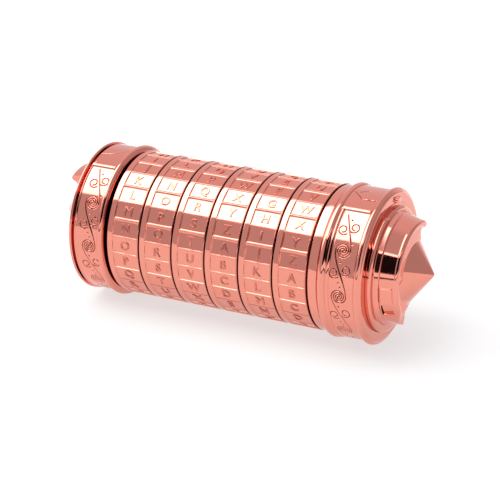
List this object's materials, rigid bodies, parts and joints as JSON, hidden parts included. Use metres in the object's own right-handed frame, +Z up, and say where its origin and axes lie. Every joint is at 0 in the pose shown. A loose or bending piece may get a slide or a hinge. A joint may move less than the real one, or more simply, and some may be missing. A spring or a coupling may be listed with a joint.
{
  "type": "cryptex puzzle vault",
  "caption": "Cylindrical letter-ring puzzle vault in mirror-polished copper plating, with beaded, engraved end caps and a pointed cone on each end; the vault tube pulls out.",
  "frame": {"origin": "on the supporting surface, under the middle of the length, midway between front and back", "axes": "+X along the barrel from the pull-out cap to the fixed cap, +Y to the back, +Z up"},
  "size_m": [0.1052, 0.04, 0.0399],
  "materials": {
    "copper_plate": "mirror-polished rose copper plating on cast zinc",
    "satin_copper": "satin copper-plated brass tube",
    "steel": "plain steel",
    "inner_plastic": "black moulded nylon"
  },
  "bodies": {
    "barrel": {"barrel_tube": "satin_copper", "retaining_collar": "satin_copper", "flange_screws": "steel", "right_cap": "copper_plate", "right_end_boss": "copper_plate", "right_cone_finial": "copper_plate", "right_finial_nut": "steel"},
    "ring_1": {"letter_ring_1": "copper_plate", "code_ring_1": "inner_plastic"},
    "ring_2": {"letter_ring_2": "copper_plate", "code_ring_2": "inner_plastic"},
    "ring_3": {"letter_ring_3": "copper_plate", "code_ring_3": "inner_plastic"},
    "ring_4": {"letter_ring_4": "copper_plate", "code_ring_4": "inner_plastic"},
    "ring_5": {"letter_ring_5": "copper_plate", "code_ring_5": "inner_plastic"},
    "ring_6": {"letter_ring_6": "copper_plate", "code_ring_6": "inner_plastic"},
    "vault": {"vault_tube": "satin_copper", "vault_pins": "steel", "vault_screws": "steel", "left_cap": "copper_plate", "left_end_ring": "copper_plate", "left_end_boss": "copper_plate", "left_cone_finial": "copper_plate", "left_finial_nut": "steel"}
  },
  "joints": [
    {"name": "ring_1_turn", "type": "hinge", "parent": "barrel", "child": "ring_1", "pos_m": [-0.0253, 0, 0.01995], "axis": [1, 0, 0], "continuous": true},
    {"name": "ring_2_turn", "type": "hinge", "parent": "barrel", "child": "ring_2", "pos_m": [-0.0159, 0, 0.01995], "axis": [1, 0, 0], "continuous": true},
    {"name": "ring_3_turn", "type": "hinge", "parent": "barrel", "child": "ring_3", "pos_m": [-0.0065, 0, 0.01995], "axis": [1, 0, 0], "continuous": true},
    {"name": "ring_4_turn", "type": "hinge", "parent": "barrel", "child": "ring_4", "pos_m": [0.0029, 0, 0.01995], "axis": [1, 0, 0], "continuous": true},
    {"name": "ring_5_turn", "type": "hinge", "parent": "barrel", "child": "ring_5", "pos_m": [0.0123, 0, 0.01995], "axis": [1, 0, 0], "continuous": true},
    {"name": "ring_6_turn", "type": "hinge", "parent": "barrel", "child": "ring_6", "pos_m": [0.0217, 0, 0.01995], "axis": [1, 0, 0], "continuous": true},
    {"name": "vault_pull", "type": "slide", "parent": "barrel", "child": "vault", "axis": [-1, 0, 0], "range_m": [0, 0.08]}
  ]
}
